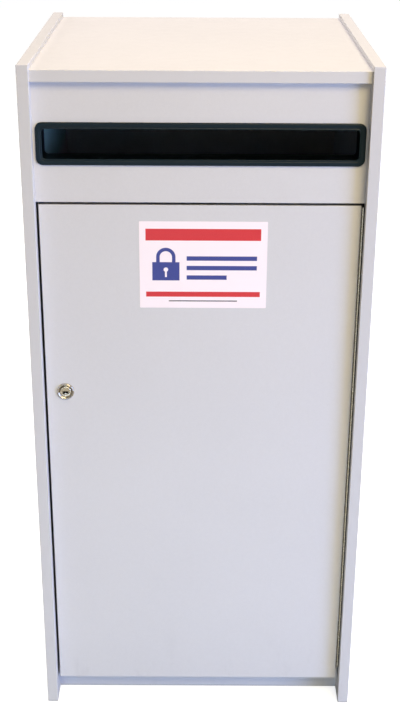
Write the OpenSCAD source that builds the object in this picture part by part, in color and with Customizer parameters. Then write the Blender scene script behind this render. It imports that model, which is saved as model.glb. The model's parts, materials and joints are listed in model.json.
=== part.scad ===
// Free-standing secure shredding console: a laminated board cabinet with a
// paper slot above a full-width lockable door, and a hanging collection bag.
// Millimetres, +Z up, front towards -Y, origin on the floor at the middle.

/* [Cabinet] */
// Overall width across the side panels
cab_w = 482; // [478:1:520]
// Overall height to the top of the side panels
cab_h = 1016; // [1000:1:1060]
// Overall depth from front edges to back edges
cab_d = 466; // [450:1:500]
// Thickness of every laminated board
board_t = 16; // [15:0.5:18]
// Thickness of the plastic edge bands
band_t = 1; // [0.5:0.1:1.5]
// Height of the side panels above the top panel
side_above_top = 7; // [4:1:12]
// Setback of the top panel behind the side panels' front edges
top_setback = 6; // [3:1:10]
// Setback of the door and the header behind the side panels' front edges
front_setback = 16; // [14:1:20]
// Height of the underside of the bottom panel
bottom_z = 41; // [40:1:60]
// Setback of the toe-kick board behind the side panels' front edges
kick_setback = 41; // [36:1:70]
// Thickness of the back panel
back_t = 6; // [4:0.5:8]
// Distance of the back panel in front of the rear edges
back_inset = 8; // [6:1:12]
// Height of the floor glides
glide_h = 1.5; // [1.5:0.5:4]

/* [Door] */
// Height of the door's lower edge above the floor
door_z0 = 37.3; // [36:0.1:40]
// Height of the door's upper edge above the floor
door_z1 = 824.8; // [815:0.1:830]
// Gap between the door and the header
door_top_gap = 2.9; // [2:0.1:5]
// Gap between the door and the left side panel
door_gap_l = 3.1; // [2:0.1:4]
// Gap between the door and the right side panel, which holds both hinge leaves
door_gap_r = 4.1; // [4.1:0.1:5]
// Width of the label
label_w = 177.8; // [100:0.1:200]
// Height of the label
label_h = 127; // [60:0.1:140]
// Height of the label's middle above the floor
label_z = 737.7; // [720:0.1:745]
// Sideways place of the label's middle
label_x = 4.4; // [-10:0.1:10]

/* [Hinge] */
// Length of one hinge knuckle with its gap
knuckle_pitch = 12.7; // [10:0.1:12.7]
// Number of knuckles
knuckle_n = 60; // [40:2:60]
// Outer radius of the knuckles
knuckle_r = 2; // [1.8:0.1:2]
// Radius of the hinge pin
pin_r = 1.1; // [0.9:0.05:1.2]
// Thickness of the hinge leaves
leaf_t = 0.9; // [0.7:0.1:1]
// Width of each leaf from the pin's axis
leaf_w = 16; // [12:1:17]
// Screws in each leaf
leaf_screws = 6; // [4:1:8]

/* [Paper slot] */
// Outer width of the slot bezel
bezel_w = 443.5; // [400:0.5:444]
// Outer height of the slot bezel
bezel_h = 58.4; // [50:0.2:70]
// Height of the bezel's middle above the floor
bezel_z = 909; // [905:1:920]
// Width of the bezel's flange around the opening
bezel_rim = 8.9; // [6:0.1:10]
// How far the flange stands in front of the header
bezel_proud = 3; // [2:0.5:5]
// Depth of the throat from the flange's front
throat_d = 30; // [24:1:40]

/* [Lock] */
// Distance of the lock's axis from the door's left edge
lock_in = 27.6; // [25:0.1:32]
// Height of the lock's axis above the floor
lock_z = 543.5; // [450:0.5:650]
// Radius of the lock's head
lock_head_r = 12.5; // [12:0.5:13]
// Radius of the turning plug
plug_r = 7; // [6:0.5:7.5]

/* [Collection bag] */
// Outer width of the bag
bag_w = 416; // [400:1:418]
// Outer depth of the bag
bag_d = 370; // [340:1:372]
// Height of the bag's bottom above the floor
bag_z0 = 62; // [60:1:90]
// Height of the bag's rim above the floor
bag_z1 = 785; // [740:1:790]

/* [Hidden] */
$fn = 48;
eps = 0.5;
fit = 0.05;
xo = cab_w / 2;
xi = xo - board_t;
yf = -cab_d / 2;
yb = cab_d / 2;
top_z1 = cab_h - side_above_top;
top_z0 = top_z1 - board_t;
front_y = yf + front_setback;
rear_y = front_y + board_t;
header_z0 = door_z1 + door_top_gap;
door_x0 = -xi + door_gap_l;
door_x1 = xi - door_gap_r;
bottom_y0 = rear_y + 2;
back_y1 = yb - back_inset;
back_y0 = back_y1 - back_t;
kick_y0 = yf + kick_setback;
hinge_x = xi - knuckle_r - 0.2;
hinge_y = front_y - 2;
hinge_z0 = 61;
hinge_z1 = hinge_z0 + knuckle_n * knuckle_pitch;
lock_x = door_x0 + lock_in;
throat_y1 = front_y - bezel_proud + throat_d;
open_w = bezel_w - 2 * bezel_rim;
open_h = bezel_h - 2 * bezel_rim;
throat_t = 2;
barrel_y1 = rear_y + 12;
rail_z0 = header_z0 - 14;
rail_z1 = header_z0 + 46;
rail_lip = 1.5;
bag_y0 = rear_y + 36;
bag_y1 = bag_y0 + bag_d;
bag_yc = (bag_y0 + bag_y1) / 2;
hook_z = bag_z1 - 17;
hook_y = [bag_yc - 140, bag_yc + 140];
hook_r = 2.5;
grommet_r = 6.8;
grommet_z = hook_z + hook_r - grommet_r + 0.3;
top_cam_y = [-165, 165];
bottom_cam_y = [-150, 165];
header_cam_z = [header_z0 + 24, top_z0 - 34];
laminate = [0.82, 0.81, 0.82];
band_colour = [0.80, 0.80, 0.82];
black_plastic = [0.10, 0.13, 0.16];
steel = [0.62, 0.62, 0.60];
zinc = [0.72, 0.70, 0.66];
nickel = [0.80, 0.76, 0.68];
beech = [0.80, 0.66, 0.46];
bag_slate = [0.19, 0.21, 0.26];
webbing_black = [0.12, 0.13, 0.14];

// A box from its lowest and highest corners
module bx(x0, x1, y0, y1, z0, z1)
    translate([x0, y0, z0]) cube([x1 - x0, y1 - y0, z1 - z0]);

// Turns a piece that points down -Z so that it points along d
module aim(p, d)
    translate(p)
        rotate(d == "x" ? [0, -90, 0] : d == "-x" ? [0, 90, 0]
            : d == "y" ? [90, 0, 0] : d == "-y" ? [-90, 0, 0]
            : d == "z" ? [180, 0, 0] : [0, 0, 0])
            children();

// A rectangle with all four corners rounded, centred
module rounded_rect(w, h, r) {
    square([w - 2 * r, h], center = true);
    square([w, h - 2 * r], center = true);
    for (sx = [-1, 1], sy = [-1, 1])
        translate([sx * (w / 2 - r), sy * (h / 2 - r)]) circle(r = r);
}

// Cross-section of an edge band: w wide, band_t thick, outer corners eased
module band_section(w) {
    r = band_t * 0.8;
    intersection() {
        square([w, band_t]);
        union() {
            square([w, band_t - r]);
            translate([r, 0]) square([w - 2 * r, band_t]);
            for (x = [r, w - r]) translate([x, band_t - r]) circle(r = r);
        }
    }
}

// A countersunk screw whose head is flush with z = 0 and whose tip points down
module screw(d, l, head_d) {
    hh = (head_d - d) / 2;
    difference() {
        union() {
            translate([0, 0, -hh]) cylinder(r1 = d / 2, r2 = head_d / 2, h = hh);
            translate([0, 0, -l + d]) cylinder(r = d / 2, h = l - d - hh);
            translate([0, 0, -l]) cylinder(r1 = 0.2, r2 = d / 2, h = d);
        }
        translate([0, 0, 0]) cube([head_d * 0.55, head_d * 0.14, hh * 1.2], center = true);
        translate([0, 0, 0]) cube([head_d * 0.14, head_d * 0.55, hh * 1.2], center = true);
    }
}

// The hole that the same screw makes
module screw_hole(d, l, head_d) {
    hh = (head_d - d) / 2;
    translate([0, 0, -hh - fit]) cylinder(r1 = d / 2 + fit, r2 = head_d / 2 + fit, h = hh);
    translate([0, 0, -fit]) cylinder(r = head_d / 2 + fit, h = 3);
    translate([0, 0, -l - fit]) cylinder(r = d / 2 + fit, h = l);
}

// Where each board end meets a side panel with a cam fitting. The child's
// joint plane is x = 0, with the side panel at x > 0 and the board's open face
// at z = 0.
module cam_places(which) {
    for (s = [0, 1]) mirror([s, 0, 0]) {
        if (which == "all" || which == "top")
            for (y = top_cam_y) translate([xi, y, top_z0]) children();
        if (which == "all" || which == "bottom")
            for (y = bottom_cam_y) translate([xi, y, bottom_z]) children();
        if (which == "all" || which == "header")
            for (z = header_cam_z) translate([xi, rear_y, z]) rotate([90, 0, 0]) children();
    }
}

module cam_fitting() {
    difference() {
        translate([-34, 0, 0.3]) cylinder(r = 7.5, h = 12.2);
        translate([-34, 0, board_t / 2]) rotate([0, 90, 0]) cylinder(r = 3.4, h = 12);
        translate([-34, 0, 0.3]) cube([9, 1.6, 3], center = true);
        translate([-34, 0, 0.3]) cube([1.6, 9, 3], center = true);
    }
}

module cam_bolt() {
    translate([-23, 0, board_t / 2]) rotate([0, 90, 0]) cylinder(r = 3, h = 34);
    translate([-30, 0, board_t / 2]) rotate([0, 90, 0]) cylinder(r = 1.8, h = 8);
    translate([-32.5, 0, board_t / 2]) rotate([0, 90, 0]) cylinder(r = 3, h = 3);
}

module cam_cut() {
    translate([-34, 0, -1]) cylinder(r = 7.5 + fit, h = 13.6);
    translate([-34, 0, board_t / 2]) rotate([0, 90, 0]) cylinder(r = 3 + fit, h = 45.1);
}

// Dowel places: the child lies along x, with the joint plane at x = 0
module dowel_places(which) {
    for (s = [0, 1]) mirror([s, 0, 0]) {
        if (which == "all" || which == "top")
            for (y = top_cam_y) translate([xi, y * 0.8, top_z0 + board_t / 2]) children();
        if (which == "all" || which == "bottom")
            for (y = bottom_cam_y) translate([xi, y * 0.8, bottom_z + board_t / 2]) children();
        if (which == "all" || which == "header")
            for (z = [header_cam_z[0] + 19, header_cam_z[1] + 20])
                translate([xi, (front_y + rear_y) / 2, z]) children();
        if (which == "all" || which == "kick" || which == "kick_end")
            translate([xi, kick_y0 + board_t / 2, (glide_h + bottom_z) / 2]) children();
        if (which == "all" || which == "header_top" || which == "header" || which == "top")
            translate([100, (front_y + rear_y) / 2, top_z0]) rotate([0, -90, 0]) children();
        if (which == "all" || which == "kick" || which == "bottom")
            translate([120, kick_y0 + board_t / 2, bottom_z]) rotate([0, -90, 0]) children();
    }
}

module dowel() translate([-18, 0, 0]) rotate([0, 90, 0]) cylinder(r = 4, h = 28.5);
module dowel_cut() translate([-18.5, 0, 0]) rotate([0, 90, 0]) cylinder(r = 4 + fit, h = 29.5);

module hinge_screw_places(x, d)
    for (i = [0 : leaf_screws - 1])
        aim([x, hinge_y + leaf_w * 0.58,
            hinge_z0 + 28 + i * (hinge_z1 - hinge_z0 - 56) / (leaf_screws - 1)], d) children();

module hook_places()
    for (s = [0, 1], y = hook_y) mirror([s, 0, 0]) translate([xi, y, hook_z]) children();

module back_screw_places() {
    for (x = [-xi + 40 : (2 * xi - 80) / 4 : xi - 39])
        aim([x, back_y1, bottom_z + board_t / 2], "-y") children();
}

module glide_places()
    for (sx = [-1, 1], sy = [-1, 1]) translate([sx * (xo - board_t / 2), sy * 200, 0]) children();

module rail_screw_places()
    for (x = [-180, 0, 180]) aim([x, rear_y + board_t, header_z0 + 16], "-y") children();

module keeper_screw_places()
    for (z = [-10.5, 10.5]) aim([-xi + 1.8, rear_y + 25, lock_z + z], "-x") children();

module side_panel_holes() {
    cam_places("all") cam_cut();
    dowel_places("top") dowel_cut();
    dowel_places("bottom") dowel_cut();
    dowel_places("header") dowel_cut();
    dowel_places("kick_end") dowel_cut();
    for (s = [0, 1]) mirror([s, 0, 0])
        bx(xi - 1, xi + 8, back_y0 - 0.1, back_y1 + 0.1, bottom_z - 0.1, top_z0 + 6);
    glide_places() translate([0, 0, glide_h - 1]) cylinder(r = 1 + fit, h = 17);
    hook_places() { for (z = [-17, 9]) aim([-2, 0, z], "x") screw_hole(3.5, 14, 7); }
}

module side_core(s)
    difference() {
        bx(s > 0 ? xi : -xo, s > 0 ? xo : -xi, yf + band_t, yb - band_t, glide_h, cab_h - band_t);
        side_panel_holes();
        if (s > 0) hinge_screw_places(xi - leaf_t, "x") screw_hole(2.6, 13, 5);
        if (s < 0) keeper_screw_places() screw_hole(3.5, 14, 7);
    }

module side_panel_left() color(laminate) side_core(-1);
module side_panel_right() color(laminate) side_core(1);

module side_edge_bands() color(band_colour)
    for (s = [0, 1]) mirror([s, 0, 0]) {
        translate([xo, yf + band_t, glide_h]) rotate([0, 0, 180]) linear_extrude(cab_h - glide_h) band_section(board_t);
        translate([xi, yb - band_t, glide_h]) linear_extrude(cab_h - glide_h) band_section(board_t);
        translate([xi, yb - band_t, cab_h - band_t]) rotate([90, 0, 0]) linear_extrude(cab_d - 2 * band_t) band_section(board_t);
    }

module top_panel() color(laminate)
    difference() {
        bx(-xi, xi, yf + top_setback + band_t, yb - band_t, top_z0, top_z1);
        cam_places("top") cam_cut();
        dowel_places("top") dowel_cut();
        bx(-xi - 1, xi + 1, back_y0 - 0.1, back_y1 + 0.1, top_z0 - 1, top_z0 + 6);
    }

module top_edge_bands() color(band_colour) {
    translate([xi, yf + top_setback + band_t, top_z0]) rotate([0, -90, 0]) rotate([0, 0, 0])
        linear_extrude(2 * xi) mirror([0, 1, 0]) band_section(board_t);
    translate([xi, yb - band_t, top_z0]) rotate([0, -90, 0])
        linear_extrude(2 * xi) band_section(board_t);
}

module slot_outline(extra, r)
    rounded_rect(open_w + 2 * extra, open_h + 2 * extra, r);

// Extrudes a shape drawn in X and Z from y0 to y1
module along_y(y0, y1) translate([0, y1, 0]) rotate([90, 0, 0]) linear_extrude(y1 - y0) children();

module header_panel() color(laminate)
    difference() {
        bx(-xi, xi, front_y, rear_y, header_z0 + band_t, top_z0);
        translate([0, 0, bezel_z]) along_y(front_y - 1, rear_y + 1) slot_outline(throat_t + 0.5, 7.5);
        cam_places("header") cam_cut();
        dowel_places("header") dowel_cut();
        rail_screw_places() screw_hole(3.5, 28, 7);
    }

module header_edge_band() color(band_colour)
    translate([-xi, front_y, header_z0 + band_t]) rotate([90, 0, 90]) linear_extrude(2 * xi)
        mirror([0, 1, 0]) band_section(board_t);

module door_stop_rail() color(laminate)
    difference() {
        bx(-xi, xi, rear_y, rear_y + board_t, rail_z0, rail_z1);
        bx(-xi - 1, xi + 1, rear_y - 1, rear_y + rail_lip, rail_z0 - 1, header_z0);
        bx(xi - 8, xi + 1, rear_y - 1, rear_y + board_t + 1, rail_z0 - 1, header_z0);
        rail_screw_places() screw_hole(3.5, 28, 7);
    }

module stop_rail_screws() color(zinc) rail_screw_places() screw(3.5, 28, 7);

module bottom_panel() color(laminate)
    difference() {
        bx(-xi, xi, bottom_y0 + band_t, back_y0, bottom_z, bottom_z + board_t);
        cam_places("bottom") cam_cut();
        dowel_places("bottom") dowel_cut();
        back_screw_places() screw_hole(3.5, 25, 7);
    }

module bottom_edge_band() color(band_colour)
    translate([xi, bottom_y0 + band_t, bottom_z]) rotate([0, -90, 0])
        linear_extrude(2 * xi) mirror([0, 1, 0]) band_section(board_t);

module kick_board() color(laminate)
    difference() {
        bx(-xi, xi, kick_y0, kick_y0 + board_t, glide_h, bottom_z);
        dowel_places("kick") dowel_cut();
    }

module back_panel() color([0.78, 0.78, 0.79])
    difference() {
        bx(-xi - 7.5, xi + 7.5, back_y0, back_y1, bottom_z, top_z0 + 5.5);
        back_screw_places() screw_hole(3.5, 25, 7);
    }

module back_panel_screws() color(zinc) back_screw_places() screw(3.5, 25, 7);
module cam_fittings() color(zinc) cam_places("all") cam_fitting();
module cam_bolts() color(steel) cam_places("all") cam_bolt();
module wood_dowels() color(beech) dowel_places("all") dowel();

module floor_glides() color([0.16, 0.17, 0.19])
    glide_places() difference() {
        union() {
            cylinder(r1 = 6, r2 = 7, h = 1);
            translate([0, 0, 1]) cylinder(r = 7, h = glide_h - 1);
        }
        translate([0, 0, 0.45]) cylinder(r = 1 + fit, h = glide_h);
        translate([0, 0, 0.45 - fit]) cylinder(r = 2.5 + fit, h = 0.7);
    }

module glide_nails() color(steel)
    glide_places() {
        translate([0, 0, 0.45]) cylinder(r = 2.5, h = 0.6);
        translate([0, 0, 0.45]) cylinder(r = 1, h = glide_h + 12);
    }

module slot_bezel() color(black_plastic) {
    difference() {
        union() {
            translate([0, 0, bezel_z]) along_y(front_y - bezel_proud, front_y) rounded_rect(bezel_w, bezel_h, 9.5);
            translate([0, 0, bezel_z]) along_y(front_y - 1, throat_y1) slot_outline(throat_t, 7);
            for (x = [-150, -50, 50, 150], s = [-1, 1])
                bx(x - 10, x + 10, rear_y + 0.3, rear_y + 3.3,
                    bezel_z + (s > 0 ? open_h / 2 + 1 : -open_h / 2 - throat_t - 2),
                    bezel_z + (s > 0 ? open_h / 2 + throat_t + 2 : -open_h / 2 - 1));
        }
        translate([0, 0, bezel_z]) along_y(front_y - bezel_proud - 1, throat_y1 + 1) slot_outline(0, 5);
    }
}

module door_bumpers() color([0.75, 0.76, 0.76]) {
    for (x = [-xi + 30, xi - 60]) {
        translate([x, bottom_y0 - 1.7, bottom_z + board_t / 2]) rotate([-90, 0, 0]) cylinder(r = 4, h = 1.7);
        translate([x, rear_y + 0.3, header_z0 - 7]) rotate([-90, 0, 0]) cylinder(r = 4, h = rail_lip - 0.3);
    }
}

// One hinge leaf. Its own knuckles are every second one from first, and the
// leaf is notched where the other leaf's knuckles turn.
module hinge_leaf(x0, x1, first)
    difference() {
        union() {
            bx(x0, x1, hinge_y, hinge_y + leaf_w, hinge_z0, hinge_z1);
            for (i = [first : 2 : knuckle_n - 1])
                translate([hinge_x, hinge_y, hinge_z0 + i * knuckle_pitch + 0.2])
                    cylinder(r = knuckle_r, h = knuckle_pitch - 0.4);
        }
        for (i = [1 - first : 2 : knuckle_n - 1])
            translate([x0 - 0.5, hinge_y - knuckle_r - 0.5, hinge_z0 + i * knuckle_pitch - 0.2])
                cube([x1 - x0 + 1, knuckle_r + 0.5 + 2.4, knuckle_pitch + 0.4]);
        translate([hinge_x, hinge_y, hinge_z0 - 1]) cylinder(r = pin_r + fit, h = hinge_z1 - hinge_z0 + 2);
    }

module hinge_leaf_frame() color(steel)
    difference() {
        hinge_leaf(xi - leaf_t, xi, 0);
        hinge_screw_places(xi - leaf_t, "x") screw_hole(2.6, 13, 5);
    }
module hinge_screws_frame() color(steel) hinge_screw_places(xi - leaf_t, "x") screw(2.6, 13, 5);
module hinge_pin() color(steel) translate([hinge_x, hinge_y, hinge_z0]) cylinder(r = pin_r, h = hinge_z1 - hinge_z0);

module hinge_leaf_door() color(steel)
    difference() {
        hinge_leaf(door_x1, door_x1 + leaf_t, 1);
        hinge_screw_places(door_x1 + leaf_t, "-x") screw_hole(2.6, 14, 5);
    }
module hinge_screws_door() color(steel) hinge_screw_places(door_x1 + leaf_t, "-x") screw(2.6, 14, 5);

module lock_keeper() color(steel)
    difference() {
        union() {
            bx(-xi, -xi + 1.8, barrel_y1 - 2.2, barrel_y1 + 23, lock_z - 20, lock_z + 20);
            bx(-xi, -xi + 20, barrel_y1 - 2.2, barrel_y1 - 0.4, lock_z - 20, lock_z + 20);
        }
        keeper_screw_places() screw_hole(3.5, 14, 7);
    }
module keeper_screws() color(zinc) keeper_screw_places() screw(3.5, 14, 7);

module bag_hooks() color(steel)
    hook_places() {
        difference() {
            bx(-2, 0, -10, 10, -27, 18);
            for (z = [-17, 9]) aim([-2, 0, z], "x") screw_hole(3.5, 14, 7);
        }
        translate([-19, 0, 0]) rotate([0, 90, 0]) cylinder(r = hook_r, h = 17.5);
        translate([-19, 0, 6]) rotate([90, 0, 0]) rotate([0, 0, 180])
            rotate_extrude(angle = 90) translate([6, 0]) circle(r = hook_r);
        translate([-25, 0, 6]) cylinder(r = hook_r, h = 7);
        translate([-25, 0, 13]) sphere(r = hook_r);
    }
module bag_hook_screws() color(zinc)
    hook_places() for (z = [-17, 9]) aim([-2, 0, z], "x") screw(3.5, 14, 7);

module door_panel() color(laminate)
    difference() {
        bx(door_x0 + band_t, door_x1 - band_t, front_y, rear_y, door_z0 + band_t, door_z1 - band_t);
        translate([lock_x, rear_y + 1, lock_z]) rotate([90, 0, 0]) cylinder(r = 9.5 + fit, h = board_t + 2);
        hinge_screw_places(door_x1 + leaf_t, "-x") screw_hole(2.6, 14, 5);
    }

module door_edge_bands() color(band_colour)
    difference() {
        union() {
            translate([door_x1 - band_t, rear_y, door_z0]) rotate([0, 0, -90])
                linear_extrude(door_z1 - door_z0) band_section(board_t);
            translate([door_x0 + band_t, front_y, door_z0]) rotate([0, 0, 90])
                linear_extrude(door_z1 - door_z0) band_section(board_t);
            translate([door_x0 + band_t, front_y, door_z1 - band_t]) rotate([90, 0, 90])
                linear_extrude(door_x1 - door_x0 - 2 * band_t) band_section(board_t);
            translate([door_x0 + band_t, front_y, door_z0 + band_t]) rotate([90, 0, 90])
                linear_extrude(door_x1 - door_x0 - 2 * band_t) mirror([0, 1, 0]) band_section(board_t);
        }
        hinge_screw_places(door_x1 + leaf_t, "-x") screw_hole(2.6, 14, 5);
    }

module door_label() color([0.97, 0.97, 0.98])
    translate([label_x, 0, label_z]) along_y(front_y - 0.25, front_y) rounded_rect(label_w, label_h, 1.5);

module lock_housing() color(nickel)
    translate([lock_x, front_y, lock_z]) difference() {
        union() {
            rotate([90, 0, 0]) cylinder(r = lock_head_r, h = 1.6);
            translate([0, -1.6, 0]) rotate([90, 0, 0]) cylinder(r1 = lock_head_r, r2 = lock_head_r - 1, h = 1.4);
            rotate([-90, 0, 0]) cylinder(r = 9.5, h = barrel_y1 - front_y);
        }
        translate([0, -4, 0]) rotate([-90, 0, 0]) cylinder(r = plug_r + fit, h = 60);
        // dished face around the plug's flange
        translate([0, -3.4, 0]) rotate([-90, 0, 0]) cylinder(r1 = lock_head_r - 1.6, r2 = plug_r + 1.5, h = 2.6);
    }

module lock_nut() color(steel)
    difference() {
        translate([lock_x, rear_y, lock_z]) rotate([-90, 0, 0]) cylinder(r = 14, h = 4.5, $fn = 6);
        translate([lock_x, rear_y - 1, lock_z]) rotate([-90, 0, 0]) cylinder(r = 9.5 + fit, h = 7);
    }

module lock_plug() color(nickel)
    translate([lock_x, front_y, lock_z]) difference() {
        union() {
            translate([0, -2.8, 0]) rotate([-90, 0, 0]) cylinder(r1 = plug_r + 0.6, r2 = plug_r + 1.2, h = 0.6);
            translate([0, -2.2, 0]) rotate([-90, 0, 0]) cylinder(r = plug_r + 1.2, h = 1.1);
            translate([0, -1.9, 0]) rotate([-90, 0, 0]) cylinder(r = plug_r, h = barrel_y1 - front_y + 1.9);
            translate([-4, barrel_y1 - front_y - 0.01, -4]) cube([8, 2.6, 8]);
        }
        along_y(-5, 14) polygon([[-4.2, -3.4], [-4.2, -2], [-3.1, -0.5], [-1.6, 0.5], [1.6, 0.5], [3.1, -0.5],
            [4.2, -2], [4.2, -3.4], [2.6, -3.4], [2, -2.6], [1.2, -2.1], [-1.2, -2.1],
            [-2, -2.6], [-2.6, -3.4]]);
        translate([0, barrel_y1 - front_y - 6, 0]) rotate([-90, 0, 0]) cylinder(r = 2 + fit, h = 12);
    }

module lock_cam() color(zinc)
    difference() {
        translate([lock_x, 0, lock_z]) along_y(barrel_y1 + 0.3, barrel_y1 + 2.3) {
            circle(r = 9);
            translate([-8, -19]) square([16, 19]);
            translate([0, -19]) intersection() {
                circle(r = 8);
                translate([-8, -8]) square([16, 8]);
            }
        }
        translate([lock_x - 4.05, barrel_y1 - 1, lock_z - 4.05]) cube([8.1, 6, 8.1]);
    }

module cam_screw() color(steel)
    translate([lock_x, barrel_y1 + 2.6, lock_z]) {
        difference() {
            rotate([-90, 0, 0]) cylinder(r1 = 6, r2 = 5, h = 2.2);
            translate([0, 2.2, 0]) cube([7, 2.2, 1.2], center = true);
            translate([0, 2.2, 0]) cube([1.2, 2.2, 7], center = true);
        }
        translate([0, -8, 0]) rotate([-90, 0, 0]) cylinder(r = 2, h = 8.1);
    }

module bag_outline(extra) translate([0, bag_yc]) rounded_rect(bag_w + 2 * extra, bag_d + 2 * extra, 28 + extra);

module grommet_places()
    for (s = [0, 1], y = hook_y) mirror([s, 0, 0]) translate([bag_w / 2, y, grommet_z]) rotate([0, 90, 0]) children();

module collection_bag() color(bag_slate)
    difference() {
        translate([0, 0, bag_z0]) linear_extrude(bag_z1 - bag_z0) bag_outline(0);
        translate([0, 0, bag_z0 + 2]) linear_extrude(bag_z1 - bag_z0) bag_outline(-2);
        grommet_places() translate([0, 0, -6]) cylinder(r = 8 + fit, h = 12);
    }

module bag_rim_webbing() color(webbing_black)
    difference() {
        translate([0, 0, bag_z1 - 38]) linear_extrude(38) bag_outline(1.2);
        translate([0, 0, bag_z1 - 39]) linear_extrude(40) bag_outline(0);
        grommet_places() translate([0, 0, -6]) cylinder(r = 8 + fit, h = 12);
    }

module bag_grommets() color(nickel)
    grommet_places() difference() {
        union() {
            translate([0, 0, -3]) cylinder(r = 8, h = 5.2);
            translate([0, 0, -3]) cylinder(r = 11, h = 1);
            translate([0, 0, 1.2]) cylinder(r = 11, h = 1);
        }
        translate([0, 0, -4]) cylinder(r = grommet_r, h = 8);
    }

module bag_handles() color(webbing_black)
    for (z = [bag_z0 + 60, bag_z1 - 120])
        translate([0, bag_y0, z]) {
            bx(-64, 64, -6, -4.4, 0, 30);
            for (s = [0, 1]) mirror([s, 0, 0]) {
                bx(62, 64, -6, 0, 0, 30);
                bx(62, 96, -1.6, 0, 0, 30);
            }
        }

side_panel_left();
side_panel_right();
side_edge_bands();
top_panel();
top_edge_bands();
header_panel();
header_edge_band();
door_stop_rail();
stop_rail_screws();
bottom_panel();
bottom_edge_band();
kick_board();
back_panel();
back_panel_screws();
cam_fittings();
cam_bolts();
wood_dowels();
floor_glides();
glide_nails();
slot_bezel();
door_bumpers();
hinge_leaf_frame();
hinge_screws_frame();
hinge_pin();
lock_keeper();
keeper_screws();
bag_hooks();
bag_hook_screws();
door_panel();
door_edge_bands();
door_label();
hinge_leaf_door();
hinge_screws_door();
lock_housing();
lock_nut();
lock_plug();
lock_cam();
cam_screw();
collection_bag();
bag_rim_webbing();
bag_grommets();
bag_handles();
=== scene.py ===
import json
import math
import time

import bmesh
import bpy
import numpy as np
from mathutils import Matrix, Vector
from mathutils.bvhtree import BVHTree


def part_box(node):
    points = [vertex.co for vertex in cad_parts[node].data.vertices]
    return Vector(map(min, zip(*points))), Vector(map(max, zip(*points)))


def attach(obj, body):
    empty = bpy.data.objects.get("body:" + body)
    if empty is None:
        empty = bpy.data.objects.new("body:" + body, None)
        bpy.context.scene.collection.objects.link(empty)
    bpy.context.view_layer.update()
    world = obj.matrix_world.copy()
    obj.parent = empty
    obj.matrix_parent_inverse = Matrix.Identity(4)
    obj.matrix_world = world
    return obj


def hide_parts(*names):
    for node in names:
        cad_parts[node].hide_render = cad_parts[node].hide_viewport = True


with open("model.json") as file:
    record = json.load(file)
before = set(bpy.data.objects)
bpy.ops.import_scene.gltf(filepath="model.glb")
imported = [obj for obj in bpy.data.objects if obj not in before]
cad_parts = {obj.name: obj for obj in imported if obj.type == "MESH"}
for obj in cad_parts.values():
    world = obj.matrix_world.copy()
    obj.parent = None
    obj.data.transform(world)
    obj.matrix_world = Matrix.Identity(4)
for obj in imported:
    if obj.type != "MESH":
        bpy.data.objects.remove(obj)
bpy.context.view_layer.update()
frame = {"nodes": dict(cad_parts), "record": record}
NODES = frame["nodes"]
scene = bpy.context.scene

# ---------------------------------------------------------------- camera

CAM_POS = Vector((-0.0008991, -1.9058734, 1.3243059))
YAW, PITCH, ROLL = math.radians(0.0532), math.radians(-23.3006), math.radians(0.2922)


def make_camera():
    fw = Vector((math.sin(YAW) * math.cos(PITCH), math.cos(YAW) * math.cos(PITCH), math.sin(PITCH)))
    right = Vector((math.cos(YAW), -math.sin(YAW), 0.0))
    up = right.cross(fw)
    r = right * math.cos(ROLL) + up * math.sin(ROLL)
    u = -right * math.sin(ROLL) + up * math.cos(ROLL)
    data = bpy.data.cameras.new("Camera")
    data.sensor_width = 36.0
    data.lens = 1278.6769 * 36.0 / 716.0
    data.clip_start, data.clip_end = 0.05, 60.0
    cam = bpy.data.objects.new("Camera", data)
    m = Matrix.Identity(4)
    for i in range(3):
        m[i][0], m[i][1], m[i][2], m[i][3] = r[i], u[i], -fw[i], CAM_POS[i]
    cam.matrix_world = m
    scene.collection.objects.link(cam)
    scene.camera = cam


make_camera()

# ---------------------------------------------------------------- material kit


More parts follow.
